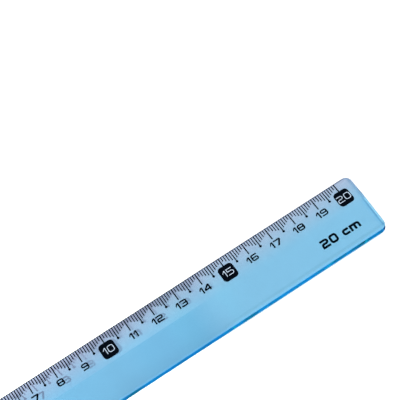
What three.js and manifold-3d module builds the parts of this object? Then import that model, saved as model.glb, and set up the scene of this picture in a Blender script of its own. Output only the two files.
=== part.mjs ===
// A 20 cm straight ruler in clear blue plastic, in millimetres, +Z up.
// The underside is flat. The top is flat along the thick edge and falls in a wide bevel to the thin scale
// edge. The scale is sunk into the bevel: each mark is a shallow pocket, and the longer marks hold their own
// slips of black ink, which seat in their pockets with a small gap all round.
// Origin: the middle of the underside. +X runs towards the high end of the scale, +Y to the scale edge.
import * as THREE from 'three';
import { mergeVertices } from 'three/addons/utils/BufferGeometryUtils.js';
import Module from 'manifold-3d';

// Scale: counts, and the distance from one mark to the next
const markCount = 200;
const marksPerCentimetre = 10;
const marksPerPlaque = 50;
const markPitch = 1;

// Body
const endMargin = 6.5;
const rulerWidth = 25;
const bodyThickness = 3.2;
const scaleEdgeThickness = 1;
const bevelWidth = 11.7;
const cornerRadius = 2.5;
const topRounding = 0.55;
const bevelRounding = 0.2;
const undersideRounding = 0.2;

// Draft: how far the walls lean in for each millimetre above the rounding of the underside
const wallDraft = 0.084;

// Ink: its thickness, and its gap to the floor and the walls of a pocket
const inkThickness = 0.12;
const inkClearance = 0.02;

// Marks: each reach is measured down the bevel, from the scale edge to the inner end of the mark
const markStart = 0.3;
const shortestReach = 2.27;
const reachStep = 0.555;
const centimetreReach = 5.5;
const dotReach = 5.22;
const dotRadius = 0.42;
const millimetreMarkWidth = 0.25;
const halfMarkWidth = 0.3;
const centimetreMarkWidth = 0.33;

// Plaques: rounded squares of ink that back the numerals of every fifth centimetre
const plaqueStart = 3.8;
const plaqueWidth = 5.95;
const plaqueHeight = 6.45;
const plaqueRadius = 1.4;

// Facets: steps of the outlines' arcs and of the rounded edges
const cornerSteps = 5;
const plaqueSteps = 3;
const dotSteps = 8;
const topRoundingSteps = 5;
const smallRoundingSteps = 2;

// The length by which a shape that cuts or trims runs past what it cuts
const overrun = 2;

const scaleLength = markCount * markPitch;
const rulerLength = scaleLength + 2 * endMargin;
const bevelSlope = (bodyThickness - scaleEdgeThickness) / bevelWidth;
const pocketDepth = inkThickness + inkClearance;

const clearBluePlastic = { color: 0x6fb6e4, roughness: 0.12, metalness: 0, transparent: true, opacity: 0.6 };
const blackInk = { color: 0x0b0d12, roughness: 0.45, metalness: 0 };

const wasm = await Module();
wasm.setup();

// The plane of the bevel: x along the scale, -y down the slope from the scale edge, z out of the surface
const bevelFace = new THREE.Group();
bevelFace.position.set(0, rulerWidth / 2, scaleEdgeThickness);
bevelFace.rotation.x = -Math.atan(bevelSlope);
bevelFace.updateMatrix();

// A closed geometry as a solid that can be cut and joined
function toSolid(geometry) {
  const bare = geometry.clone();
  bare.deleteAttribute('normal');
  bare.deleteAttribute('uv');
  const merged = mergeVertices(bare);
  return new wasm.Manifold(new wasm.Mesh({
    numProp: 3,
    vertProperties: new Float32Array(merged.attributes.position.array),
    triVerts: new Uint32Array(merged.index.array),
  }));
}

// A solid as a flat-shaded geometry
function toGeometry(solid) {
  const mesh = solid.getMesh();
  const indexed = new THREE.BufferGeometry();
  indexed.setAttribute('position', new THREE.BufferAttribute(mesh.vertProperties, mesh.numProp));
  indexed.setIndex(new THREE.BufferAttribute(mesh.triVerts, 1));
  const geometry = indexed.toNonIndexed();
  geometry.computeVertexNormals();
  return geometry;
}

// The ruler's outline at one height, drawn in from its largest size
function outlineAt(height, inset) {
  const x = rulerLength / 2 - cornerRadius;
  const y = rulerWidth / 2 - cornerRadius;
  const radius = cornerRadius - inset;
  const outline = new THREE.Shape();
  outline.absarc(x, y, radius, 0, Math.PI / 2, false);
  outline.absarc(-x, y, radius, Math.PI / 2, Math.PI, false);
  outline.absarc(-x, -y, radius, Math.PI, 1.5 * Math.PI, false);
  outline.absarc(x, -y, radius, 1.5 * Math.PI, 2 * Math.PI, false);
  return outline.getPoints(cornerSteps).map((point) => [point.x, point.y, height]);
}

// The outlines that round a rim, from the wall to the face; side is 1 for a face on top and -1 underneath
function roundedRim(face, side, wallInset, rounding, steps) {
  const levels = [];
  for (let step = 0; step <= steps; step += 1) {
    const turn = (Math.PI / 2) * (step / steps);
    const depth = rounding * (1 - Math.sin(turn));
    const inset = rounding * (1 - Math.cos(turn));
    levels.push(...outlineAt(face - side * depth, wallInset + inset));
  }
  return levels;
}

// How far a wall has leaned in where it reaches a height
function leanAt(height) {
  return wallDraft * (height - undersideRounding);
}

// A bar with a flat top, a flat underside and walls that lean in by the draft
function draftedBar() {
  const underside = roundedRim(0, -1, 0, undersideRounding, smallRoundingSteps);
  const topInset = leanAt(bodyThickness - topRounding);
  const top = roundedRim(bodyThickness, 1, topInset, topRounding, topRoundingSteps);
  return wasm.Manifold.hull([...underside, ...top]);
}

// A block whose top is the plane of the bevel: a level block sheared so that its top rises from the scale edge.
// Its foot is wider than the bar, so that its sides trim nothing but the rim of the bevel.
function bevelledBlock() {
  const riseAtThickEdge = scaleEdgeThickness + rulerWidth * bevelSlope;
  const riseAtCentre = (scaleEdgeThickness + riseAtThickEdge) / 2;
  const wallInset = leanAt(scaleEdgeThickness - bevelRounding);
  const foot = outlineAt(-riseAtThickEdge - overrun, -overrun);
  const top = roundedRim(0, 1, wallInset, bevelRounding, smallRoundingSteps);
  const sheared = [...foot, ...top].map(([x, y, z]) => [x, y, z + riseAtCentre - y * bevelSlope]);
  return wasm.Manifold.hull(sheared);
}

// The blank is what the bevel leaves of the drafted bar
function rulerBlank() {
  return draftedBar().intersect(bevelledBlock());
}

// A plain stroke; gap is 0 for the ink and the clearance for its pocket
function strokeOutline(width, reach, gap) {
  const side = width / 2 + gap;
  const outline = new THREE.Shape();
  outline.moveTo(side, gap - markStart);
  outline.lineTo(-side, gap - markStart);
  outline.lineTo(-side, -reach - gap);
  outline.lineTo(side, -reach - gap);
  return outline;
}

// A stroke that ends in a round dot
function dottedOutline(gap) {
  const side = halfMarkWidth / 2 + gap;
  const radius = dotRadius + gap;
  const neck = Math.asin(side / radius);
  const outline = new THREE.Shape();
  outline.moveTo(side, gap - markStart);
  outline.lineTo(-side, gap - markStart);
  outline.absarc(0, -dotReach, radius, Math.PI / 2 + neck, 2.5 * Math.PI - neck, false);
  return outline;
}

// A stroke that runs into a rounded square
function plaqueOutline(gap) {
  const stroke = centimetreMarkWidth / 2 + gap;
  const side = plaqueWidth / 2 + gap;
  const near = gap - plaqueStart;
  const far = -plaqueStart - plaqueHeight - gap;
  const radius = plaqueRadius + gap;
  const outline = new THREE.Shape();
  outline.moveTo(stroke, near);
  outline.lineTo(stroke, gap - markStart);
  outline.lineTo(-stroke, gap - markStart);
  outline.lineTo(-stroke, near);
  outline.absarc(radius - side, near - radius, radius, Math.PI / 2, Math.PI, false);
  outline.absarc(radius - side, far + radius, radius, Math.PI, 1.5 * Math.PI, false);
  outline.absarc(side - radius, far + radius, radius, 1.5 * Math.PI, 2 * Math.PI, false);
  outline.absarc(side - radius, near - radius, radius, 0, Math.PI / 2, false);
  return outline;
}

// The strokes between two centimetre marks grow from each of them to the half-centimetre mark
function millimetreReach(reading) {
  const past = reading % marksPerCentimetre;
  const steps = Math.min(past, marksPerCentimetre - past);
  return shortestReach + (steps - 1) * reachStep;
}

// The marks of the scale in order, each with its name, its place and its outline
function scaleMarks() {
  const marks = [];
  for (let reading = 0; reading <= markCount; reading += 1) {
    const x = reading * markPitch - scaleLength / 2;
    const centimetres = String(Math.floor(reading / marksPerCentimetre)).padStart(2, '0');
    if (reading > 0 && reading % marksPerPlaque === 0) {
      marks.push({ name: `plaque_mark_${centimetres}`, x, steps: plaqueSteps, outline: plaqueOutline });
    } else if (reading % marksPerCentimetre === 0) {
      const outline = (gap) => strokeOutline(centimetreMarkWidth, centimetreReach, gap);
      marks.push({ name: `centimetre_mark_${centimetres}`, x, steps: 1, outline });
    } else if (reading % (marksPerCentimetre / 2) === 0) {
      marks.push({ name: `half_mark_${centimetres}_5`, x, steps: dotSteps, outline: dottedOutline });
    } else {
      const outline = (gap) => strokeOutline(millimetreMarkWidth, millimetreReach(reading), gap);
      marks.push({ name: null, x, steps: 1, outline });
    }
  }
  return marks;
}

// The blank with a pocket for every mark
function rulerBody(marks) {
  let body = rulerBlank();
  for (const mark of marks) {
    const pocket = new THREE.ExtrudeGeometry(mark.outline(inkClearance), {
      depth: pocketDepth + overrun,
      bevelEnabled: false,
      curveSegments: mark.steps,
    });
    pocket.translate(mark.x, 0, -pocketDepth);
    pocket.applyMatrix4(bevelFace.matrix);
    body = body.subtract(toSolid(pocket));
  }
  const mesh = new THREE.Mesh(toGeometry(body), new THREE.MeshStandardMaterial(clearBluePlastic));
  mesh.name = 'ruler_body';
  return mesh;
}

// A slip of ink, level with the bevel around it
function inkSlip(mark) {
  const geometry = new THREE.ExtrudeGeometry(mark.outline(0), {
    depth: inkThickness,
    bevelEnabled: false,
    curveSegments: mark.steps,
  });
  const mesh = new THREE.Mesh(geometry, new THREE.MeshStandardMaterial(blackInk));
  mesh.name = mark.name;
  mesh.position.set(mark.x, 0, -inkThickness);
  return mesh;
}

const marks = scaleMarks();
for (const mark of marks.filter((each) => each.name !== null)) {
  bevelFace.add(inkSlip(mark));
}

const ruler = new THREE.Group();
ruler.add(rulerBody(marks));
ruler.add(bevelFace);

export default ruler;
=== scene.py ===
"""The looks of a 20 cm straight ruler in clear blue plastic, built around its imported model.

Lengths are in metres in the frame of the model: the origin is the middle of the underside, +X runs towards
the high end of the scale, +Y to the scale edge and +Z up. The scale lies on the bevel, so its shapes are
drawn in the plane of the bevel first: x along the scale, y up the slope to its edge, z out of the surface.
"""

import logging
import math
from dataclasses import dataclass, field
from enum import Enum
from functools import reduce

import bmesh
import bpy
from mathutils import Matrix, Vector
from mathutils.geometry import tessellate_polygon


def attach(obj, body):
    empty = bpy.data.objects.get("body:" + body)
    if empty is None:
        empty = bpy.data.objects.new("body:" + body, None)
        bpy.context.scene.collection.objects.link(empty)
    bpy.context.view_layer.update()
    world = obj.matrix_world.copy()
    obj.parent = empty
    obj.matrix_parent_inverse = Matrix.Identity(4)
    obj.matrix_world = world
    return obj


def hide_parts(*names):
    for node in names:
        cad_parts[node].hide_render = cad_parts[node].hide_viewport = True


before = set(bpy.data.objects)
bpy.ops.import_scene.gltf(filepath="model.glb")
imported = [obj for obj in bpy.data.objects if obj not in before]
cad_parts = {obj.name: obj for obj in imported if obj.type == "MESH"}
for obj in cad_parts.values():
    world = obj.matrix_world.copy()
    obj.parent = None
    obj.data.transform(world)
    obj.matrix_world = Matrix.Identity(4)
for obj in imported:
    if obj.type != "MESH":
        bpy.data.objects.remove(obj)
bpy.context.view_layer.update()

MM = 0.001
BODY = "root"
LOG = logging.getLogger("ruler")

# Counts of the scale, and a period that is longer than the scale and so leaves no mark out
MARKS_PER_HALF = 5
MARKS_PER_CENTIMETRE = 10
MARKS_PER_PLAQUE = 50
NO_PERIOD = 1000

# Half a step, by which nodes tell whole numbers apart
HALF_STEP = 0.5

WHITE = (1.0, 1.0, 1.0)

Point = tuple[float, float]
Corner = tuple[float, float, float]
Colour = tuple[float, float, float]
Way = tuple[float, float, float]
Loop = list[Point]
Places = tuple[tuple[float, Colour], ...]
Row = list[bmesh.types.BMVert]
Socket = bpy.types.NodeSocket
Piece = bpy.types.Object
Material = bpy.types.Material


class Slot(Enum):
    """The record's material slots."""

    PLASTIC = "clear_blue_plastic"
    BLACK = "black_ink"
    WHITE = "white_ink"


@dataclass(frozen=True)
class RulerSizes:
    """The sizes that the moulding and the print share."""

    length: float = 213 * MM
    width: float = 25 * MM
    thickness: float = 3.2 * MM
    edge_thickness: float = 1 * MM
    bevel_width: float = 11.7 * MM
    corner_radius: float = 2.5 * MM
    scale_length: float = 200 * MM
    pitch: float = 1 * MM
    ink_sunk: float = 0.03 * MM
    ink_proud: float = 0.012 * MM

    @property
    def slope(self) -> float:
        """The rise of the bevel for each unit of width."""
        return (self.thickness - self.edge_thickness) / self.bevel_width

    @property
    def mark_places(self) -> int:
        """The number of marks, with the one at 0."""
        return round(self.scale_length / self.pitch) + 1

    def bevel_height(self, y: float) -> float:
        """The height of the plane of the bevel at a place across the ruler."""
        return self.edge_thickness + (self.width / 2 - y) * self.slope

    def bevel_plane(self) -> Matrix:
        """The place of the plane in which the scale is drawn."""
        turn = Matrix.Rotation(-math.atan(self.slope), 4, "X")
        return Matrix.Translation((0, self.width / 2, self.edge_thickness)) @ turn

    def top_plane(self) -> Matrix:
        """The place of the flat top, with y from the thick edge."""
        return Matrix.Translation((0, -self.width / 2, self.thickness))


def new_object(name: str, data: bpy.types.ID) -> Piece:
    """Links a mesh, a lamp or a camera to the scene as an object at the origin.

    Args:
        name: the name of the object.
        data: what it holds.

    Returns:
        The new object.
    """
    piece = bpy.data.objects.new(name, data)
    bpy.context.scene.collection.objects.link(piece)
    return piece


def rounded_loop(corners: list[Corner], steps: int) -> Loop:
    """Rounds the corners of a polygon.

    Args:
        corners: x, y and radius of each corner, in order.
        steps: straight steps in each rounded corner.

    Returns:
        The points of the outline.
    """
    outline: Loop = []
    for number, (x, y, radius) in enumerate(corners):
        if radius <= 0:
            outline.append((x, y))
            continue
        here = Vector((x, y))
        before = (Vector(corners[number - 1][:2]) - here).normalized()
        after = (Vector(corners[(number + 1) % len(corners)][:2]) - here).normalized()
        half = before.angle(after) / 2
        centre = here + (before + after).normalized() * (radius / math.sin(half))
        first = here + before * (radius / math.tan(half)) - centre
        last = here + after * (radius / math.tan(half)) - centre
        sweep = first.angle_signed(last)
        for step in range(steps + 1):
            outline.append(tuple(centre + Matrix.Rotation(-sweep * step / steps, 2) @ first))
    return outline


def film_mesh(name: str, shapes: list[list[Loop]], bottom: float, top: float) -> bpy.types.Mesh:
    """Makes a thin film of ink as closed prisms.

    Args:
        name: the name of the mesh.
        shapes: for each prism its outline, and then its holes.
        bottom: the height of the lower face.
        top: the height of the upper face.

    Returns:
        The mesh, in the plane in which the outlines are drawn.
    """
    film = bmesh.new()
    for loops in shapes:
        flat = [point for loop in loops for point in loop]
        lower = [film.verts.new((x, y, bottom)) for x, y in flat]
        upper = [film.verts.new((x, y, top)) for x, y in flat]
        for one, two, three in tessellate_polygon([[Vector((x, y, 0)) for x, y in loop] for loop in loops]):
            film.faces.new((upper[one], upper[two], upper[three]))
            film.faces.new((lower[three], lower[two], lower[one]))
        start = 0
        for loop in loops:
            for step in range(len(loop)):
                here, there = start + step, start + (step + 1) % len(loop)
                film.faces.new((lower[here], lower[there], upper[there], upper[here]))
            start += len(loop)
    bmesh.ops.recalc_face_normals(film, faces=film.faces)
    mesh = bpy.data.meshes.new(name)
    film.to_mesh(mesh)
    film.free()
    return mesh


class Nodes:
    """Adds nodes to a tree and joins them."""

    def __init__(self, tree: bpy.types.NodeTree) -> None:
        """Keeps the tree to which the nodes are added."""
        self.tree = tree

    def add(self, kind: str, settings: dict | None = None, inputs: dict | None = None) -> bpy.types.Node:
        """Adds one node.

        Args:
            kind: the type of node.
            settings: attributes of the node.
            inputs: for each input, by name or number, its value, the socket that feeds it, or the node whose
                first output does. A colour is given as red, green and blue.

        Returns:
            The new node.
        """
        node = self.tree.nodes.new(kind)
        for key, value in (settings or {}).items():
            setattr(node, key, value)
        for key, value in (inputs or {}).items():
            socket = node.inputs[key]
            source = value.outputs[0] if isinstance(value, bpy.types.Node) else value
            if isinstance(source, Socket):
                self.tree.links.new(source, socket)
            else:
                socket.default_value = (*source, 1.0) if socket.type == "RGBA" else source
        return node

    def math(self, operation: str, *values: object) -> Socket:
        """Adds a Math node that works on numbers, sockets or nodes, and gives its result."""
        return self.add("ShaderNodeMath", {"operation": operation}, dict(enumerate(values))).outputs[0]

    def axes(self) -> bpy.types.NodeOutputs:
        """Gives the Object coordinates as X, Y and Z."""
        place = self.add("ShaderNodeTexCoord").outputs["Object"]
        return self.add("ShaderNodeSeparateXYZ", inputs={0: place}).outputs

    def share(self, value: Socket, span: Point) -> Socket:
        """Turns a value into a share that is 0 at the first end of a span and 1 at the second."""
        inputs = {"Value": value, "From Min": span[0], "From Max": span[1]}
        return self.add("ShaderNodeMapRange", inputs=inputs).outputs[0]

    def mix(self, share: object, first: object, second: object, mode: str = "MIX") -> Socket:
        """Mixes two colours, each given by value or by socket, with a share of the second."""
        mixed = {"Factor": share, "A": first, "B": second}
        return self.add("ShaderNodeMix", {"data_type": "RGBA", "blend_type": mode}, mixed).outputs["Result"]

    def blend(self, value: Socket, span: Point, tint: Colour) -> Socket:
        """Turns a value into a colour that is white at the first end of a span and a tint at the second."""
        return self.mix(self.share(value, span), WHITE, tint)

    def times(self, *colours: Socket) -> Socket:
        """Multiplies the colours of some sockets."""
        return reduce(lambda product, colour: self.mix(1.0, product, colour, "MULTIPLY"), colours)

    def ramp(self, value: Socket, places: Places) -> Socket:
        """Turns a value into a colour that changes from place to place.

        Args:
            value: the value.
            places: values in order, each with its colour.

        Returns:
            The socket of the colour.
        """
        start, end = places[0][0], places[-1][0]
        node = self.add("ShaderNodeValToRGB", inputs={"Fac": self.share(value, (start, end))})
        stops = node.color_ramp.elements
        for place, colour in places:
            stops.new((place - start) / (end - start)).color = (*colour, 1.0)
        stops.remove(stops[0])
        stops.remove(stops[-1])
        return node.outputs["Color"]


def new_group(name: str, kind: str, inputs: dict[str, str], outputs: dict[str, str]) -> Nodes:
    """Makes an empty node group.

    Args:
        name: its name.
        kind: the type of its tree.
        inputs: the name and the kind of socket of each input.
        outputs: the same for each output.

    Returns:
        Its nodes.
    """
    tree = bpy.data.node_groups.new(name, kind)
    for side, sockets in (("INPUT", inputs), ("OUTPUT", outputs)):
        for label, socket in sockets.items():
            tree.interface.new_socket(label, in_out=side, socket_type="NodeSocket" + socket)
    return Nodes(tree)


def empty_nodes(owner: Material | bpy.types.World) -> Nodes:
    """Gives a material or a world an empty tree of nodes.

    Args:
        owner: the material or the world.

    Returns:
        Its nodes.
    """
    owner.use_nodes = True
    owner.node_tree.nodes.clear()
    return Nodes(owner.node_tree)


@dataclass
class Moulding:
    """The bar: flat underside, thick edge, flat top, wide bevel and thin scale edge, with rounded rims."""

    sizes: RulerSizes
    top_rounding: float = 0.55 * MM
    bevel_rounding: float = 0.2 * MM
    underside_rounding: float = 0.2 * MM
    draft: float = 0.084
    ridge_blend: float = 0.07 * MM
    ridge_steps: tuple[float, ...] = (0.1, 0.2, 0.3, 0.4, 0.55, 0.9, 2.0)
    support: float = 0.06 * MM
    corner_steps: int = 12
    rounding_steps: int = 8
    long_steps: int = 40
    digits: int = 6
    name: str = "ruler_moulding"

    @staticmethod
    def rounding_drop(rounding: float, inset: float) -> float:
        """How far a rounded rim lies under its face, at a distance in from the outline."""
        rest = max(rounding - inset, 0)
        return rounding - math.sqrt(rounding**2 - rest**2)

    def insets(self, *roundings: float) -> list[float]:
        """Where rounded rims are divided: even steps of each arc, measured in from the outline.

        Args:
            roundings: the radii of the rims.

        Returns:
            The distances, growing, and one more past the last rim.
        """
        turns = [math.pi / 2 * step / self.rounding_steps for step in range(1, self.rounding_steps + 1)]
        depths = [radius * (1 - math.cos(turn)) for radius in roundings for turn in turns]
        places = sorted({round(depth, self.digits) for depth in depths})
        return [*places, places[-1] + self.support]

    def shares(self) -> list[float]:
        """Where the long faces are divided, from 0 at one end to 1 at the other."""
        edge = self.support / self.sizes.length
        return [0, edge, *(step / self.long_steps for step in range(1, self.long_steps)), 1 - edge, 1]

    def top_height(self, y: float, inset: float) -> float:
        """The height of the top, where the flat top and the bevel run into each other with a soft ridge.

        Args:
            y: the place across the ruler.
            inset: the distance in from the outline.

        Returns:
            The height over the underside.
        """
        flat = self.sizes.thickness - self.rounding_drop(self.top_rounding, inset)
        bevel = self.sizes.bevel_height(y) - self.rounding_drop(self.bevel_rounding, inset)
        near = max(self.ridge_blend - abs(flat - bevel), 0) / self.ridge_blend
        return min(flat, bevel) - near**2 * self.ridge_blend / 4

    def stations(self, inset: float) -> list[Point]:
        """Points round the right-hand end, from the thick edge to the scale edge.

        Args:
            inset: the distance in from the outline.

        Returns:
            The points, as many for each inset.
        """
        radius = self.sizes.corner_radius
        x, y = self.sizes.length / 2 - radius, self.sizes.width / 2 - radius
        ridge = self.sizes.width / 2 - self.sizes.bevel_width
        steps = [step * MM for step in self.ridge_steps]
        turns = [math.pi / 2 * step / self.corner_steps for step in range(self.corner_steps + 1)]
        reach = radius - inset
        lower = [(x + reach * math.sin(turn), -y - reach * math.cos(turn)) for turn in turns]
        upper = [(x + reach * math.cos(turn), y + reach * math.sin(turn)) for turn in turns]
        side = [-y + self.support, -y / 2, *(ridge - step for step in reversed(steps))]
        side += [ridge, *(ridge + step for step in steps), y / 2, y - self.support]
        return lower + [(x + reach, place) for place in side] + upper

    def ring(self, inset: float) -> list[Point]:
        """A closed ring of points at one distance in from the outline.

        Args:
            inset: the distance in from the outline.

        Returns:
            The points, counter-clockwise seen from above.
        """
        right = self.stations(inset)
        left = [(-x, y) for x, y in right]
        shares = self.shares()[1:-1]
        near = [(left[0][0] + (right[0][0] - left[0][0]) * share, right[0][1]) for share in shares]
        far = [(right[-1][0] + (left[-1][0] - right[-1][0]) * share, right[-1][1]) for share in shares]
        return [left[0], *near, *right, *far, *left[:0:-1]]

    def build(self, plastic: Material) -> Piece:
        """Builds the bar from rings that climb from the underside over the wall to the top.

        Args:
            plastic: its material.

        Returns:
            The piece, with its place in its mesh.
        """
        bar = bmesh.new()
        under = self.insets(self.underside_rounding)
        over = self.insets(self.top_rounding, self.bevel_rounding)
        levels = [(inset, self.rounding_drop(self.underside_rounding, inset)) for inset in reversed(under)]
        levels += [(0, self.underside_rounding), (0, self.underside_rounding + self.support)]
        rows = [[bar.verts.new((x, y, height)) for x, y in self.ring(inset)] for inset, height in levels]
        for inset, drop in [(0, self.support), (0, 0), *((inset, 0) for inset in over)]:
            ring = self.ring(inset)
            rows.append([bar.verts.new((x, y, self.top_height(y, inset) - drop)) for x, y in ring])
        for lower, upper in zip(rows, rows[1:]):
            for step in range(len(lower)):
                after = (step + 1) % len(lower)
                bar.faces.new((lower[step], lower[after], upper[after], upper[step]))
        self.close(bar, rows[0], under[-1], False)
        self.close(bar, rows[-1], over[-1], True)
        for vertex in bar.verts:
            lean = 2 * self.draft * max(vertex.co.z - self.underside_rounding, 0)
            vertex.co.x *= 1 - lean / self.sizes.length
            vertex.co.y *= 1 - lean / self.sizes.width
        bmesh.ops.recalc_face_normals(bar, faces=bar.faces)
        mesh = bpy.data.meshes.new(self.name)
        bar.to_mesh(mesh)
        bar.free()
        mesh.shade_smooth()
        mesh.materials.append(plastic)
        return new_object(self.name, mesh)

    def close(self, bar: bmesh.types.BMesh, ring: Row, inset: float, top: bool) -> None:
        """Fills the last ring with rows that run along the ruler.

        Args:
            bar: the mesh that is being built.
            ring: the vertices of the ring.
            inset: its distance in from the outline.
            top: whether it lies on the top.
        """
        shares = self.shares()
        right = self.stations(inset)
        along, across = len(shares), len(right)
        corner = along - 1
        far_end = corner + across - 1
        right_verts = ring[corner : far_end + 1]
        left_verts = [ring[0], *ring[: far_end + along - 2 : -1]]
        grid: list[Row] = [ring[:along]]
        for row in range(1, across - 1):
            x, y = right[row]
            height = self.top_height(y, inset) if top else 0
            inner = [bar.verts.new((-x + 2 * x * share, y, height)) for share in shares[1:-1]]
            grid.append([left_verts[row], *inner, right_verts[row]])
        grid.append(list(reversed(ring[far_end : far_end + along])))
        for lower, upper in zip(grid, grid[1:]):
            for step in range(along - 1):
                bar.faces.new((lower[step], lower[step + 1], upper[step + 1], upper[step]))


class MarkKind(Enum):
    """The four kinds of mark: the name of the piece, the first mark, the period and the period left out."""

    MILLIMETRE = ("millimetre_strokes", 1, 1, MARKS_PER_HALF)
    HALF = ("half_centimetre_marks", MARKS_PER_HALF, MARKS_PER_CENTIMETRE, NO_PERIOD)
    CENTIMETRE = ("centimetre_strokes", 0, MARKS_PER_CENTIMETRE, MARKS_PER_PLAQUE)
    PLAQUE = ("numeral_plaques", MARKS_PER_PLAQUE, MARKS_PER_PLAQUE, NO_PERIOD)


@dataclass
class ScaleMarks:
    """The marks of the scale, each kind laid out by one tree of geometry nodes from one drawn mark."""

    sizes: RulerSizes
    start: float = 0.3 * MM
    shortest_reach: float = 2.27 * MM
    reach_step: float = 0.555 * MM
    centimetre_reach: float = 5.5 * MM
    dot_reach: float = 5.3 * MM
    dot_radius: float = 0.49 * MM
    millimetre_width: float = 0.37 * MM
    half_width: float = 0.43 * MM
    centimetre_width: float = 0.46 * MM
    plaque_start: float = 3.8 * MM
    plaque_width: float = 5.95 * MM
    plaque_height: float = 6.45 * MM
    plaque_radius: float = 1.4 * MM
    end_radius: float = 0.05 * MM
    end_steps: int = 2
    dot_steps: int = 24
    plaque_steps: int = 10
    tree: bpy.types.NodeTree | None = field(default=None, init=False)

    def outline(self, kind: MarkKind) -> Loop:
        """Draws one mark at x = 0, down the slope from the scale edge.

        Args:
            kind: the kind of mark.

        Returns:
            Its outline, counter-clockwise.
        """
        top, tip = -self.start, self.end_radius
        if kind is MarkKind.PLAQUE:
            stroke, side, radius = self.centimetre_width / 2, self.plaque_width / 2, self.plaque_radius
            near, far = -self.plaque_start, -self.plaque_start - self.plaque_height
            plaque = [(-side, far, radius), (side, far, radius), (side, near, radius), (stroke, near, 0)]
            neck = [(stroke, top, tip), (-stroke, top, tip), (-stroke, near, 0)]
            return rounded_loop([*plaque, *neck, (-side, near, radius)], self.plaque_steps)
        if kind is MarkKind.HALF:
            side, centre, radius = self.half_width / 2, -self.dot_reach, self.dot_radius
            neck = math.asin(side / radius)
            turn = 2 * (math.pi - neck) / self.dot_steps
            angles = [math.pi / 2 + neck + turn * step for step in range(self.dot_steps + 1)]
            foot = [(radius * math.cos(angle), centre + radius * math.sin(angle), 0) for angle in angles]
        else:
            short = kind is MarkKind.MILLIMETRE
            side = (self.millimetre_width if short else self.centimetre_width) / 2
            reach = self.shortest_reach if short else self.centimetre_reach
            foot = [(-side, -reach, tip), (side, -reach, tip)]
        return rounded_loop([*foot, (side, top, tip), (-side, top, tip)], self.end_steps)

    def layout_tree(self) -> bpy.types.NodeTree:
        """Makes the tree that repeats a drawn mark along the scale and lengthens it as its place asks.

        Returns:
            The tree.
        """
        sockets = {"Mark": "Geometry", "Places": "Int", "First place": "Int", "Period": "Int"}
        sockets |= {"Period left out": "Int", "Marks per centimetre": "Int"}
        sockets |= {"Pitch": "Float", "Reach step": "Float", "Ink": "Material"}
        nodes = new_group("scale_marks", "GeometryNodeTree", sockets, {"Marks": "Geometry"})
        given = nodes.add("NodeGroupInput").outputs
        index = nodes.add("GeometryNodeInputIndex")
        offset = nodes.add("ShaderNodeCombineXYZ", inputs={"X": given["Pitch"]})
        counted = {"Count": given["Places"], "Offset": offset}
        line = nodes.add("GeometryNodeMeshLine", {"mode": "OFFSET"}, counted)
        whole = {"data_type": "INT", "domain": "POINT"}
        stored = {"Geometry": line, "Name": "place", "Value": index}
        numbered = nodes.add("GeometryNodeStoreNamedAttribute", whole, stored)
        place = nodes.add("GeometryNodeInputNamedAttribute", {"data_type": "INT"}, {"Name": "place"})
        past = nodes.math("SUBTRACT", place, given["First place"])
        early = nodes.math("LESS_THAN", past, -HALF_STEP)
        beat = nodes.math("MODULO", nodes.math("ABSOLUTE", past), given["Period"])
        between = nodes.math("GREATER_THAN", beat, HALF_STEP)
        other_beat = nodes.math("MODULO", place, given["Period left out"])
        on_other = nodes.math("LESS_THAN", other_beat, HALF_STEP)
        left_out = nodes.math("MULTIPLY", on_other, nodes.math("GREATER_THAN", place, HALF_STEP))
        unwanted = nodes.math("MAXIMUM", nodes.math("MAXIMUM", early, between), left_out)
        selected = {"Geometry": numbered, "Selection": unwanted}
        kept = nodes.add("GeometryNodeDeleteGeometry", {"domain": "POINT"}, selected)
        laid = nodes.add("GeometryNodeInstanceOnPoints", inputs={"Points": kept, "Instance": given["Mark"]})
        real = nodes.add("GeometryNodeRealizeInstances", inputs={0: laid})
        inner = nodes.add("GeometryNodeInputNamedAttribute", {"data_type": "FLOAT"}, {"Name": "inner"})
        per = given["Marks per centimetre"]
        after = nodes.math("MODULO", place, per)
        steps = nodes.math("MINIMUM", after, nodes.math("SUBTRACT", per, after))
        longer = nodes.math("MULTIPLY", nodes.math("SUBTRACT", steps, 1.0), given["Reach step"])
        down = nodes.math("MULTIPLY", nodes.math("MULTIPLY", longer, inner), -1.0)
        shift = nodes.add("ShaderNodeCombineXYZ", inputs={"Y": down})
        stretched = nodes.add("GeometryNodeSetPosition", inputs={"Geometry": real, "Offset": shift})
        inked = nodes.add("GeometryNodeSetMaterial", inputs={"Geometry": stretched, "Material": given["Ink"]})
        nodes.add("NodeGroupOutput", inputs={0: inked})
        return nodes.tree

    def drawn_mark(self, kind: MarkKind) -> bpy.types.Mesh:
        """Makes the film of one mark, with its inner end told apart from its start.

        Args:
            kind: the kind of mark.

        Returns:
            The mesh, in the plane of the bevel.
        """
        mesh = film_mesh("drawn_mark", [[self.outline(kind)]], -self.sizes.ink_sunk, self.sizes.ink_proud)
        mesh.transform(Matrix.Translation((-self.sizes.scale_length / 2, 0, 0)))
        middle = -(self.start + self.shortest_reach) / 2
        inner = mesh.attributes.new("inner", "FLOAT", "POINT")
        inner.data.foreach_set("value", [float(vertex.co.y < middle) for vertex in mesh.vertices])
        return mesh

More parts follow.
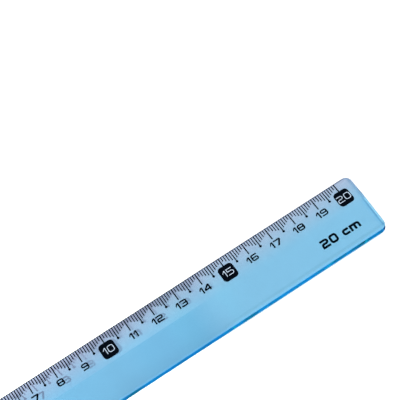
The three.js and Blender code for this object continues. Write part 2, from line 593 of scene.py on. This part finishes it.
    def build(self, kind: MarkKind, ink: Material) -> Piece:
        """Lays out one kind of mark along the scale.

        Args:
            kind: the kind of mark.
            ink: its material.

        Returns:
            The piece, with its place in its mesh.
        """
        self.tree = self.tree or self.layout_tree()
        name, first, period, left_out = kind.value
        piece = new_object(name, self.drawn_mark(kind))
        modifier = piece.modifiers.new("layout", "NODES")
        modifier.node_group = self.tree
        values = {
            "Places": self.sizes.mark_places,
            "First place": first,
            "Period": period,
            "Period left out": left_out,
            "Marks per centimetre": MARKS_PER_CENTIMETRE,
            "Pitch": self.sizes.pitch,
            "Reach step": self.reach_step if kind is MarkKind.MILLIMETRE else 0.0,
            "Ink": ink,
        }
        for item in self.tree.interface.items_tree:
            if item.name in values:
                modifier[item.identifier] = values[item.name]
        graph = bpy.context.evaluated_depsgraph_get()
        mesh = bpy.data.meshes.new_from_object(piece.evaluated_get(graph))
        piece.modifiers.clear()
        piece.data = mesh
        for extra in ("place", "inner"):
            if extra in mesh.attributes:
                mesh.attributes.remove(mesh.attributes[extra])
        mesh.transform(self.sizes.bevel_plane())
        return piece


@dataclass(frozen=True)
class Lettering:
    """Wide square-shouldered signs, drawn as outlines of even strokes."""

    height: float
    width: float
    one_width: float
    stroke: float
    gap: float
    shoulder: float
    corner_steps: int = 6

    @staticmethod
    def window(left: float, bottom: float, right: float, top: float, turn: float) -> list[Corner]:
        """The corners of a hole, clockwise, with the radius that they all have."""
        return [(left, bottom, turn), (left, top, turn), (right, top, turn), (right, bottom, turn)]

    def signs(self) -> dict[str, tuple[float, list[list[Corner]]]]:
        """Draws the signs, each with its lower left corner at the origin.

        Returns:
            For each sign its width, and the corners of its outline and of its holes.
        """
        wide, tall, pen, big = self.width, self.height, self.stroke, self.shoulder
        right, roof = wide - pen, tall - pen
        low, high = (tall - pen) / 2, (tall + pen) / 2
        tip, small = 0.12 * pen, max(big - pen, 0.2 * pen)
        tight = min(small, (low - pen) / 2 * 0.9)
        slant = 1.25 * pen

        around = [(0, 0, big), (wide, 0, big), (wide, tall, big), (0, tall, big)]
        low_window = self.window(pen, pen, right, low, tight)

        one, flag = self.one_width, 0.7 * tall
        stem, under = one - pen, flag - slant
        bend = under + (tall - flag) / (one - slant) * stem
        one_shape = [(stem, 0, tip), (one, 0, tip), (one, tall, tip), (one - slant, tall, tip)]
        one_shape += [(0, flag, tip), (0, under, tip), (stem, bend, 0)]

        crook = [(0, tall, tip), (0, roof, tip), (right, roof, tight), (right, high, tight)]
        two = [(0, 0, tip), (wide, 0, tip), (wide, pen, tip), (pen, pen, 0), (pen, low, tight)]
        two += [(wide, low, big), (wide, tall, big), *crook, (0, high, big)]

        arm = 0.3 * wide
        three = [(0, 0, tip), (wide, 0, big), (wide, tall, big), *crook, (arm, high, tip), (arm, low, tip)]
        three += [(right, low, tight), (right, pen, tight), (0, pen, tip)]

        leg, bar = 0.88 * wide, 0.2 * tall
        post, shelf = leg - pen, bar + pen
        peak, notch, nose = post - 0.35 * pen, tall - 1.45 * pen, shelf + 0.1 * pen
        four = [(post, 0, tip), (leg, 0, tip), (leg, bar, 0), (wide, bar, tip), (wide, shelf, tip)]
        four += [(leg, shelf, 0), (leg, tall, tip), (peak, tall, tip), (0, nose, tip), (0, bar, tip)]
        four += [(post, bar, 0)]
        four_window = [(slant, shelf, 0), (post, notch, 0), (post, shelf, 0)]

        lift, brow = 0.06 * tall, 0.93 * wide
        five = [(0, 0, tip), (wide, 0, big), (wide, high + lift, big), (pen, high + lift, 0), (pen, roof, 0)]
        five += [(brow, roof, tip), (brow, tall, tip), (0, tall, tip), (0, low + lift, tip)]
        five += [(right, low + lift, tight), (right, pen, tight), (0, pen, tip)]

        hook = 0.95 * wide
        six = [(0, 0, big), (wide, 0, big), (wide, high, big), (pen, high, 0), (pen, roof, small)]
        six += [(hook, roof, tip), (hook, tall, tip), (0, tall, big)]
        nine = [[(wide - x, tall - y, turn) for x, y, turn in shape] for shape in (six, low_window)]

        foot, knee = 0.24 * wide, tall - 1.3 * pen
        seven = [(foot, 0, tip), (foot + slant, 0, tip), (wide, knee, tip), (wide, tall, tip), (0, tall, tip)]
        seven += [(0, roof, tip), (wide - slant, roof, 0)]

        letter, mouth = 0.72 * tall, 0.85 * wide
        eave = letter - pen
        c_shape = [(0, 0, big), (mouth, 0, tip), (mouth, pen, tip), (pen, pen, small), (pen, eave, small)]
        c_shape += [(mouth, eave, tip), (mouth, letter, tip), (0, letter, big)]

        broad, blank = 1.3 * wide, 0.35 * wide
        left_side, right_side = (broad - pen) / 2, (broad + pen) / 2
        m_shape = [(0, 0, tip), (pen, 0, tip), (pen, eave, 0), (left_side, eave, 0), (left_side, 0, tip)]
        m_shape += [(right_side, 0, tip), (right_side, eave, 0), (broad - pen, eave, small)]
        m_shape += [(broad - pen, 0, tip), (broad, 0, tip), (broad, letter, big), (0, letter, tip)]
        return {
            "0": (wide, [around, self.window(pen, pen, right, roof, small)]),
            "1": (one, [one_shape]),
            "2": (wide, [two]),
            "3": (wide, [three]),
            "4": (wide, [four, four_window]),
            "5": (wide, [five]),
            "6": (wide, [six, low_window]),
            "7": (wide, [seven]),
            "8": (wide, [around, low_window, self.window(pen, high, right, roof, tight)]),
            "9": (wide, nine),
            "c": (mouth, [c_shape]),
            "m": (broad, [m_shape]),
            " ": (blank, []),
        }

    def shapes(self, text: str, centre: float, base: float) -> list[list[Loop]]:
        """Sets a line of signs about its middle.

        Args:
            text: digits, the letters c and m, and spaces.
            centre: the middle of the line.
            base: the height of its foot.

        Returns:
            For each sign its outline and its holes.
        """
        signs = self.signs()
        drawn = [signs[sign] for sign in text]
        total = sum(width for width, _ in drawn) + self.gap * (len(drawn) - 1)
        x = centre - total / 2
        placed: list[list[Loop]] = []
        for width, shapes in drawn:
            if shapes:
                moved = [[(x + dx, base + dy, turn) for dx, dy, turn in shape] for shape in shapes]
                placed.append([rounded_loop(shape, self.corner_steps) for shape in moved])
            x += width + self.gap
        return placed


@dataclass
class Numerals:
    """The readings: black beside the centimetre marks and white on the plaques."""

    sizes: RulerSizes
    black: Lettering = Lettering(
        height=2.8 * MM, width=2.72 * MM, one_width=1.4 * MM,
        stroke=0.58 * MM, gap=0.36 * MM, shoulder=0.85 * MM,
    )
    white: Lettering = Lettering(
        height=2.8 * MM, width=2.35 * MM, one_width=1.15 * MM,
        stroke=0.26 * MM, gap=0.56 * MM, shoulder=0.8 * MM,
    )
    black_foot: float = -9.1 * MM
    white_foot: float = -8.45 * MM

    def build(self, on_plaques: bool, ink: Material) -> Piece:
        """Prints the numerals of one colour.

        Args:
            on_plaques: white numerals on the plaques, or black ones between them.
            ink: their material.

        Returns:
            The piece, with its place in its mesh.
        """
        lettering = self.white if on_plaques else self.black
        foot = self.white_foot if on_plaques else self.black_foot
        shapes: list[list[Loop]] = []
        for mark in range(0, self.sizes.mark_places, MARKS_PER_CENTIMETRE):
            if (mark > 0 and mark % MARKS_PER_PLAQUE == 0) == on_plaques:
                centre = mark * self.sizes.pitch - self.sizes.scale_length / 2
                shapes += lettering.shapes(str(mark // MARKS_PER_CENTIMETRE), centre, foot)
        proud = self.sizes.ink_proud
        bottom = proud / 2 if on_plaques else -self.sizes.ink_sunk
        top = proud + proud if on_plaques else proud
        name = "plaque_numerals" if on_plaques else "scale_numerals"
        mesh = film_mesh(name, shapes, bottom, top)
        mesh.materials.append(ink)
        mesh.transform(self.sizes.bevel_plane())
        return new_object(name, mesh)


@dataclass
class LengthPrint:
    """The plain print of the ruler's length on the flat top, near the high end."""

    sizes: RulerSizes
    lettering: Lettering = Lettering(
        height=3.5 * MM, width=3.2 * MM, one_width=1.5 * MM,
        stroke=0.86 * MM, gap=0.45 * MM, shoulder=1.1 * MM,
    )
    centre: float = 90.6 * MM
    foot: float = 5.4 * MM
    text: str = "20 cm"
    name: str = "length_print"

    def build(self, ink: Material) -> Piece:
        """Prints the length, level with the flat top.

        Args:
            ink: its material.

        Returns:
            The piece, with its place in its mesh.
        """
        proud = self.sizes.ink_proud
        shapes = self.lettering.shapes(self.text, self.centre, self.foot)
        mesh = film_mesh(self.name, shapes, -self.sizes.ink_sunk, proud)
        mesh.materials.append(ink)
        mesh.transform(self.sizes.top_plane() @ Matrix.Translation((0, 0, -proud)))
        return new_object(self.name, mesh)


class WearGroup:
    """The handling marks that plastic and ink share: hairline scratches and a faint unevenness."""

    # The turn of each set of scratches, and how much it is squeezed along them
    sets: tuple[Point, ...] = ((0.12, 0.10), (-0.35, 0.14), (1.1, 0.2))
    break_share: float = 0.8
    cloud_scale: float = 35.0

    def __init__(self) -> None:
        """Builds the shader node group."""
        inputs = dict.fromkeys(("Scratch spacing", "Scratch width", "Scratch share", "Grain scale"), "Float")
        outputs = dict.fromkeys(("Scratches", "Grain", "Cloud"), "Float")
        nodes = new_group("handling_wear", "ShaderNodeTree", inputs, outputs)
        given = nodes.add("NodeGroupInput").outputs
        place = nodes.add("ShaderNodeTexCoord").outputs["Object"]
        masks = []
        for turn, squeeze in self.sets:
            placing = {"Vector": place, "Rotation": (0, 0, turn), "Scale": (squeeze, 1.0, 1.0)}
            turned = nodes.add("ShaderNodeMapping", inputs=placing)
            scale = nodes.math("DIVIDE", 1.0, given["Scratch spacing"])
            cells = nodes.add(
                "ShaderNodeTexVoronoi",
                {"feature": "DISTANCE_TO_EDGE", "voronoi_dimensions": "2D"},
                {"Vector": turned, "Scale": scale, "Randomness": 1.0},
            ).outputs["Distance"]
            line = nodes.math("LESS_THAN", cells, given["Scratch width"])
            coarse = nodes.math("MULTIPLY", scale, self.break_share)
            noise = {"Vector": turned, "Scale": coarse, "Detail": 2.0}
            breaks = nodes.add("ShaderNodeTexNoise", {"noise_dimensions": "2D"}, noise)
            shown = nodes.math("LESS_THAN", breaks, given["Scratch share"])
            masks.append(nodes.math("MULTIPLY", line, shown))
        scratches = nodes.math("MAXIMUM", nodes.math("MAXIMUM", masks[0], masks[1]), masks[2])
        noise = {"Vector": place, "Scale": given["Grain scale"], "Detail": 4.0, "Roughness": 0.6}
        grain = nodes.add("ShaderNodeTexNoise", inputs=noise)
        noise = {"Vector": place, "Scale": self.cloud_scale, "Detail": 2.0}
        cloud = nodes.add("ShaderNodeTexNoise", inputs=noise)
        nodes.add("NodeGroupOutput", inputs={0: scratches, 1: grain, 2: cloud})
        self.tree = nodes.tree

    def place(self, nodes: Nodes, **values: float) -> bpy.types.Node:
        """Places the group in a material, with a value for each input, named with underscores for spaces."""
        inputs = {key.replace("_", " ").capitalize(): value for key, value in values.items()}
        return nodes.add("ShaderNodeGroup", {"node_tree": self.tree}, inputs)


@dataclass(frozen=True)
class ClearBluePlastic:
    """Clear moulded plastic, tinted blue right through, glossy with fine handling marks.

    A span is the stretch of X, Y or Z in which a tint or a share sets in, and places are tints that follow
    one another.
    """

    refraction: float = 1.57
    gloss: float = 0.03
    grain_gloss: float = 0.02
    scratch_gloss: float = 0.18
    scratch_height: float = -0.5
    bump_strength: float = 0.12
    bump_reach: float = 0.04 * MM
    absorbed: Colour = (259.0, 52.0, 1.0)

    # The surface: everywhere over the foot, and on the wall of the thick edge,
    # whose deep blue without red is painted shade
    foot_span: Point = (0.25 * MM, 0.35 * MM)
    surface_tint: Colour = (1.0, 0.73, 0.78)
    cloud_tint: Colour = (0.96, 0.98, 0.99)
    scratch_tint: Colour = (0.93, 0.96, 0.98)
    wall_span: Point = (-12.2 * MM, -12.3 * MM)
    wall_gloss: float = 0.4
    wall_shade_tint: Colour = (0.05, 0.87, 0.89)

    # The surface across the ruler, in painted shade and light: the bevel greying towards the scale edge,
    # and a painted shadow line and a painted highlight on the lip along the thick edge
    bevel_shade_span: Point = (0.2 * MM, 12.5 * MM)
    bevel_shade_tint: Colour = (0.68, 0.765, 0.87)
    shadow_line_places: Places = (
        (-11.5 * MM, WHITE),
        (-11.2 * MM, (0.95, 0.955, 0.945)),
        (-10.85 * MM, (0.91, 0.91, 0.915)),
        (-10.4 * MM, (0.95, 0.965, 0.965)),
        (-9.9 * MM, WHITE),
    )
    shadow_line_span: Point = (30 * MM, 48 * MM)
    lip_highlight_span: Point = (-11.7 * MM, -11.9 * MM)
    lip_highlight_tint: Colour = (1.0, 1.09, 1.12)

    # The surface along the ruler, in painted shade and light: the flat top darker over the low half,
    # and a painted shadow line, painted shade and a painted highlight strip at the high end
    flat_span: Point = (0.6 * MM, 1.0 * MM)
    length_shade_places: Places = (
        (-8 * MM, (0.865, 0.955, 0.965)),
        (3 * MM, (0.83, 0.915, 0.945)),
        (10 * MM, (0.77, 0.885, 0.925)),
        (30 * MM, (0.78, 0.88, 0.93)),
        (38 * MM, (0.95, 0.98, 0.985)),
        (48 * MM, WHITE),
        (103.6 * MM, WHITE),
        (104.7 * MM, (0.88, 0.95, 0.98)),
        (105.2 * MM, (0.93, 0.98, 1.0)),
        (105.5 * MM, WHITE),
    )
    end_shade_span: Point = (104.6 * MM, 105.4 * MM)
    end_shade_tint: Colour = (0.82, 0.89, 0.945)
    end_highlight_span: Point = (105.3 * MM, 105.7 * MM)
    end_highlight_tint: Colour = (1.0, 1.16, 1.13)

    # The light that it lets through to the table: by how upright a face is, from 0 to 1, at the scale edge,
    # and along the ruler, where less passes as the spots add more
    rim_places: Places = (
        (0.05, (0.95, 0.95, 0.95)),
        (0.13, (0.02, 0.45, 0.65)),
        (0.6, (0.02, 0.45, 0.65)),
        (0.7, (0.95, 0.95, 0.95)),
    )
    scale_edge_span: Point = (12.1 * MM, 12.3 * MM)
    scale_edge_tint: Colour = (0.3, 0.42, 0.5)
    side_places: Places = (
        (-6 * MM, (0.688, 0.636, 0.697)),
        (-2 * MM, (0.67, 0.624, 0.682)),
        (3 * MM, (0.681, 0.64, 0.697)),
        (18 * MM, (0.675, 0.648, 0.707)),
        (28 * MM, (0.695, 0.708, 0.753)),
        (33 * MM, (0.76, 0.755, 0.8)),
        (37 * MM, (0.815, 0.8, 0.842)),
        (41 * MM, (0.911, 0.888, 0.914)),
        (44 * MM, (0.946, 0.957, 0.966)),
        (50 * MM, WHITE),
    )

    def top_colour(self, nodes: Nodes, axes: bpy.types.NodeOutputs, marks: bpy.types.Node) -> Socket:
        """Builds the colour of the top and the walls, with painted shade, painted shadow lines and painted
        highlights.

        Args:
            nodes: the material's nodes.
            axes: the Object coordinates.
            marks: the node of the handling marks.

        Returns:
            The socket of the colour.
        """
        along, across = axes["X"], axes["Y"]
        # Painted shade: the bevel grows darker and greyer towards the scale edge
        bevel = nodes.blend(across, self.bevel_shade_span, self.bevel_shade_tint)
        flat = nodes.share(across, self.flat_span)
        # Painted highlight: a lighter strip across the flat top at the high end
        painted_end_highlight = nodes.blend(along, self.end_highlight_span, self.end_highlight_tint)
        # Painted shade: the bevel darker close to the high end, where the flat top takes the painted
        # highlight
        end = nodes.mix(flat, painted_end_highlight, nodes.blend(along, self.end_shade_span, self.end_shade_tint))
        # Painted shade on the flat top: darker over the low half, and a dark shadow line at the high end
        length = nodes.mix(flat, nodes.ramp(along, self.length_shade_places), WHITE)
        # Painted shadow: a faint dark line along the thick edge, shown only towards the high end
        line = nodes.ramp(across, self.shadow_line_places)
        edge = nodes.mix(nodes.share(along, self.shadow_line_span), WHITE, line)
        # Painted highlight: a lighter strip on the rounding of the thick edge
        painted_lip_highlight = nodes.blend(across, self.lip_highlight_span, self.lip_highlight_tint)
        cloudy = nodes.mix(marks.outputs["Cloud"], WHITE, self.cloud_tint)
        # Painted shade: the wall of the thick edge takes a deep blue tint with no red
        faces = nodes.mix(nodes.share(across, self.wall_span), self.surface_tint, self.wall_shade_tint)
        worn = nodes.mix(marks.outputs["Scratches"], WHITE, self.scratch_tint)
        tint = nodes.times(bevel, end, length, edge, painted_lip_highlight, cloudy, faces)
        return nodes.times(tint, tint, worn)

    def passed_colour(self, nodes: Nodes, axes: bpy.types.NodeOutputs) -> Socket:
        """Builds the colour of the light that passes to the table.

        Args:
            nodes: the material's nodes.
            axes: the Object coordinates.

        Returns:
            The socket of the colour.
        """
        normal = nodes.add("ShaderNodeNewGeometry").outputs["Normal"]
        upright = nodes.add("ShaderNodeSeparateXYZ", inputs={0: normal}).outputs["Z"]
        facing = nodes.math("SUBTRACT", 1.0, nodes.math("ABSOLUTE", upright))
        rim = nodes.ramp(facing, self.rim_places)
        edge = nodes.blend(axes["Y"], self.scale_edge_span, self.scale_edge_tint)
        return nodes.times(rim, edge, nodes.ramp(axes["X"], self.side_places))

    def build(self, wear: WearGroup) -> Material:
        """Builds the material.

        Args:
            wear: the shared handling marks.

        Returns:
            The material.
        """
        material = bpy.data.materials.new("clear_blue_plastic")
        nodes = empty_nodes(material)
        axes = nodes.axes()
        marks = wear.place(
            nodes, scratch_spacing=0.006, scratch_width=0.008, scratch_share=0.42, grain_scale=700.0
        )
        scratches = marks.outputs["Scratches"]
        least = self.gloss - self.grain_gloss / 2
        rough = nodes.math("MULTIPLY_ADD", marks.outputs["Grain"], self.grain_gloss, least)
        rough = nodes.math("MULTIPLY_ADD", scratches, self.scratch_gloss, rough)
        wall = nodes.share(axes["Y"], self.wall_span)
        rough = nodes.math("MULTIPLY_ADD", wall, self.wall_gloss, rough)
        above = nodes.share(axes["Z"], self.foot_span)
        tint = nodes.mix(above, WHITE, self.top_colour(nodes, axes, marks))
        height = nodes.math("MULTIPLY_ADD", scratches, self.scratch_height, marks.outputs["Cloud"])
        relief = {"Strength": self.bump_strength, "Distance": self.bump_reach, "Height": height}
        finish = {"Base Color": tint, "Roughness": rough, "IOR": self.refraction, "Transmission Weight": 1.0}
        finish["Normal"] = nodes.add("ShaderNodeBump", inputs=relief)
        surface = nodes.add("ShaderNodeBsdfPrincipled", inputs=finish)
        clear = nodes.add("ShaderNodeBsdfTransparent", inputs={"Color": self.passed_colour(nodes, axes)})
        shadow = nodes.add("ShaderNodeLightPath").outputs["Is Shadow Ray"]
        mixed = nodes.add("ShaderNodeMixShader", inputs={0: shadow, 1: surface, 2: clear})
        density = max(self.absorbed)
        colour = [1 - loss / density for loss in self.absorbed]
        volume = nodes.add("ShaderNodeVolumeAbsorption", inputs={"Color": colour, "Density": density})
        nodes.add("ShaderNodeOutputMaterial", inputs={"Surface": mixed, "Volume": volume})
        return material


@dataclass(frozen=True)
class Ink:
    """Stamped ink: a dense matt film that is a little uneven."""

    name: str
    colour: Colour
    worn_colour: Colour
    gloss: float = 0.42
    grain_gloss: float = 0.2
    grain_fade: float = 0.5
    scratch_fade: float = 0.35
    bump_strength: float = 0.3
    bump_reach: float = 0.004 * MM
    refraction: float = 1.45
    shine: float = 0.05

    def build(self, wear: WearGroup) -> Material:
        """Builds the material.

        Args:
            wear: the shared handling marks.

        Returns:
            The material.
        """
        material = bpy.data.materials.new(self.name)
        nodes = empty_nodes(material)
        marks = wear.place(
            nodes, scratch_spacing=0.003, scratch_width=0.012, scratch_share=0.4, grain_scale=9000.0
        )
        grain = marks.outputs["Grain"]
        fade = nodes.math("MULTIPLY", grain, self.grain_fade)
        fade = nodes.math("MULTIPLY_ADD", marks.outputs["Scratches"], self.scratch_fade, fade)
        colour = nodes.mix(fade, self.colour, self.worn_colour)
        rough = nodes.math("MULTIPLY_ADD", grain, self.grain_gloss, self.gloss - self.grain_gloss / 2)
        relief = {"Strength": self.bump_strength, "Distance": self.bump_reach, "Height": grain}
        finish = {"Base Color": colour, "Roughness": rough, "IOR": self.refraction}
        finish |= {"Specular IOR Level": self.shine, "Normal": nodes.add("ShaderNodeBump", inputs=relief)}
        surface = nodes.add("ShaderNodeBsdfPrincipled", inputs=finish)
        nodes.add("ShaderNodeOutputMaterial", inputs={"Surface": surface})
        return material


@dataclass(frozen=True)
class Spot:
    """A narrow lamp beyond the low end of the ruler, in whose light the print shades the table."""

    name: str
    aim: float
    back: Way
    power: float
    angle: float
    blend: float
    distance: float = 1.2
    size: float = 0.012
    colour: Colour = (0.95, 1.0, 0.75)


@dataclass
class Studio:
    """A plain white table under soft light, seen from the photograph's angle."""

    bar: Piece
    print_pieces: list[Piece]
    plaque_pieces: list[Piece]

    # The table, and how much of its glow and of the surround mirrored and light-gathering rays see
    floor_reach: float = 2.5
    floor_drop: float = 0.02 * MM
    floor_colour: float = 0.8
    floor_grain: float = 0.01
    floor_glow: float = 0.2
    gathered: float = 0.02
    mirrored: float = 0.03

    # The lamps: one soft lamp, and two spots
    key_power: float = 24.5
    key_size: float = 0.2
    key_distance: float = 1.4
    key_back: Way = (0.2, 0.13, 0.96)
    low_spot: Spot = Spot(
        "low_spot", aim=-52 * MM, back=(-0.7, 0.0, 0.8), power=170.0, angle=0.075, blend=0.6
    )
    middle_spot: Spot = Spot(
        "middle_spot", aim=16 * MM, back=(-0.5, -0.05, 1.0), power=120.0, angle=0.0387, blend=0.8
    )

    # The camera, as the marks in the photograph place it: its eye, its axes and its lens
    eye_in_mm: Way = (-34.26, -160.05, 500.76)
    right: Way = (0.83256, -0.55045, -0.06205)
    up: Way = (0.52771, 0.75411, 0.39095)
    back: Way = (-0.1684, -0.35823, 0.91832)
    lens: float = 135.521

    def seen_directly(self, nodes: Nodes) -> Socket:
        """Tells the rays that look at a surface from those that gather its light.

        Args:
            nodes: the nodes of the material or the world.

        Returns:
            A socket that is 1 for camera and transmission rays, less for mirrored ones and 0 for the others.
        """
        rays = nodes.add("ShaderNodeLightPath").outputs
        seen = nodes.math("MAXIMUM", rays["Is Camera Ray"], rays["Is Transmission Ray"])
        seen = nodes.math("MAXIMUM", seen, nodes.math("MULTIPLY", rays["Is Glossy Ray"], self.mirrored))
        return nodes.math("MULTIPLY", seen, nodes.math("LESS_THAN", rays["Diffuse Depth"], HALF_STEP))

    def floor(self) -> Piece:
        """Lays the table, which glows just enough to look white where nothing shades it.

        Returns:
            Its top.
        """
        reach = self.floor_reach
        corners = [(-reach, -reach, 0), (reach, -reach, 0), (reach, reach, 0), (-reach, reach, 0)]
        mesh = bpy.data.meshes.new("table_top")
        mesh.from_pydata(corners, [], [(0, 1, 2, 3)])
        mesh.transform(Matrix.Translation((0, 0, -self.floor_drop)))
        material = bpy.data.materials.new("white_table")
        nodes = empty_nodes(material)
        place = nodes.add("ShaderNodeTexCoord").outputs["Object"]
        grain = nodes.add("ShaderNodeTexNoise", inputs={"Vector": place, "Scale": 400.0, "Detail": 3.0})
        darkest = self.floor_colour - self.floor_grain / 2
        shade = nodes.math("MULTIPLY_ADD", grain, self.floor_grain, darkest)
        rays = nodes.add("ShaderNodeLightPath").outputs
        mirror = nodes.math("GREATER_THAN", rays["Is Glossy Ray"], rays["Is Transmission Ray"])
        shade = nodes.math("MULTIPLY", shade, nodes.math("MULTIPLY_ADD", mirror, self.mirrored - 1, 1.0))
        colour = nodes.add("ShaderNodeCombineColor", inputs={0: shade, 1: shade, 2: shade})
        matt = nodes.add("ShaderNodeBsdfDiffuse", inputs={"Color": colour})
        strength = nodes.math("MULTIPLY", self.seen_directly(nodes), self.floor_glow)
        glow = nodes.add("ShaderNodeEmission", inputs={"Color": WHITE, "Strength": strength})
        both = nodes.add("ShaderNodeAddShader", inputs={0: matt, 1: glow})
        nodes.add("ShaderNodeOutputMaterial", inputs={"Surface": both})
        mesh.materials.append(material)
        return new_object("table_top", mesh)

    def world(self) -> None:
        """Sets an even pale surround that looks white and lights softly."""
        world = bpy.data.worlds.new("soft_surround")
        bpy.context.scene.world = world
        nodes = empty_nodes(world)
        share = nodes.math("MAXIMUM", self.seen_directly(nodes), self.gathered)
        glow = nodes.add("ShaderNodeBackground", inputs={"Color": WHITE, "Strength": share})
        nodes.add("ShaderNodeOutputWorld", inputs={0: glow})
        world.cycles.sampling_method = "NONE"

    @staticmethod
    def hang(lamp: bpy.types.Light, aim: float, back: Vector, blockers: list[Piece]) -> Piece:
        """Hangs a lamp that doesn't show in the plastic.

        Args:
            lamp: the lamp.
            aim: the place along the ruler at which it looks.
            back: the way from there to the lamp.
            blockers: the only pieces that stop its light.

        Returns:
            The lamp's object.
        """
        holder = new_object(lamp.name, lamp)
        holder.location = Vector((aim, 0, 0)) + back
        holder.rotation_mode = "QUATERNION"
        holder.rotation_quaternion = (-back).to_track_quat("-Z", "Y")
        holder.visible_transmission = False
        holder.visible_glossy = False
        shades = bpy.data.collections.new(lamp.name + "_blockers")
        for piece in blockers:
            shades.objects.link(piece)
        holder.light_linking.blocker_collection = shades
        return holder

    def key_light(self, floor: Piece) -> None:
        """Hangs one soft lamp high over the ruler, whose light the print doesn't stop.

        Args:
            floor: the table.
        """
        lamp = bpy.data.lights.new("soft_box", "AREA")
        lamp.shape = "DISK"
        lamp.size = self.key_size
        lamp.energy = self.key_power
        self.hang(lamp, 0.0, Vector(self.key_back).normalized() * self.key_distance, [self.bar, floor])

    def side_light(self, spot: Spot, floor: Piece, blockers: list[Piece]) -> None:
        """Hangs a spot that lights the table alone.

        Args:
            spot: its sizes and its place.
            floor: the table.
            blockers: the pieces that shade the table from it.
        """
        lamp = bpy.data.lights.new(spot.name, "SPOT")
        lamp.energy = spot.power
        lamp.color = spot.colour
        lamp.shadow_soft_size = spot.size
        lamp.spot_size = spot.angle
        lamp.spot_blend = spot.blend
        holder = self.hang(lamp, spot.aim, Vector(spot.back).normalized() * spot.distance, blockers)
        table = bpy.data.collections.new(spot.name + "_lit")
        table.objects.link(floor)
        holder.light_linking.receiver_collection = table

    def camera(self) -> None:
        """Sets the camera where the photograph was taken from."""
        camera = bpy.data.cameras.new("camera")
        camera.sensor_width = 36
        camera.lens = self.lens
        camera.clip_start, camera.clip_end = 0.01, 20
        holder = new_object("camera", camera)
        turn = Matrix((self.right, self.up, self.back)).transposed()
        holder.matrix_world = Matrix.Translation(Vector(self.eye_in_mm) * MM) @ turn.to_4x4()
        bpy.context.scene.camera = holder

    def build(self) -> None:
        """Sets up the table, the light and the camera."""
        floor = self.floor()
        self.world()
        self.key_light(floor)
        blockers = [self.bar, *self.print_pieces]
        self.side_light(self.low_spot, floor, blockers)
        self.side_light(self.middle_spot, floor, [*blockers, *self.plaque_pieces])
        self.camera()
        scene = bpy.context.scene
        scene.view_settings.view_transform = "Standard"
        scene.cycles.caustics_refractive = False
        scene.cycles.caustics_reflective = False
        scene.cycles.max_bounces = 24
        scene.cycles.transmission_bounces = 24
        scene.cycles.glossy_bounces = 16
        scene.cycles.transparent_max_bounces = 24


def stand_in(piece: Piece, prefix: str | None = None) -> Piece:
    """Lets a piece ride on the ruler and stand for CAD nodes.

    Args:
        piece: the finished piece.
        prefix: what the names of the CAD nodes start with, if it stands for any.

    Returns:
        The piece.
    """
    nodes = [name for name in sorted(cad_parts) if prefix and name.startswith(prefix)]
    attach(piece, BODY)
    if nodes:
        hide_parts(*nodes)
    LOG.info("%s: %d faces, stands for %d nodes", piece.name, len(piece.data.polygons), len(nodes))
    return piece


def main() -> None:
    """Builds the ruler, its print and the studio in order."""
    logging.basicConfig(level=logging.INFO, format="%(name)s %(message)s")
    sizes = RulerSizes()
    wear = WearGroup()
    plastic = ClearBluePlastic().build(wear)
    black = Ink("black_ink", colour=(0.0006, 0.002, 0.005), worn_colour=(0.004, 0.006, 0.01)).build(wear)
    white = Ink("white_ink", colour=(0.55, 0.68, 0.82), worn_colour=(0.45, 0.56, 0.7)).build(wear)

    moulding = stand_in(Moulding(sizes).build(plastic), "ruler_body")

    marks = ScaleMarks(sizes)
    strokes = stand_in(marks.build(MarkKind.MILLIMETRE, black))
    halves = stand_in(marks.build(MarkKind.HALF, black), "half_mark")
    centimetres = stand_in(marks.build(MarkKind.CENTIMETRE, black), "centimetre_mark")
    plaques = stand_in(marks.build(MarkKind.PLAQUE, black), "plaque_mark")

    numerals = Numerals(sizes)
    readings = stand_in(numerals.build(False, black))
    plaque_readings = stand_in(numerals.build(True, white))
    length = stand_in(LengthPrint(sizes).build(black))

    print_pieces = [strokes, halves, centimetres, readings, length]
    Studio(moulding, print_pieces, [plaques, plaque_readings]).build()


if __name__ == "__main__":
    main()
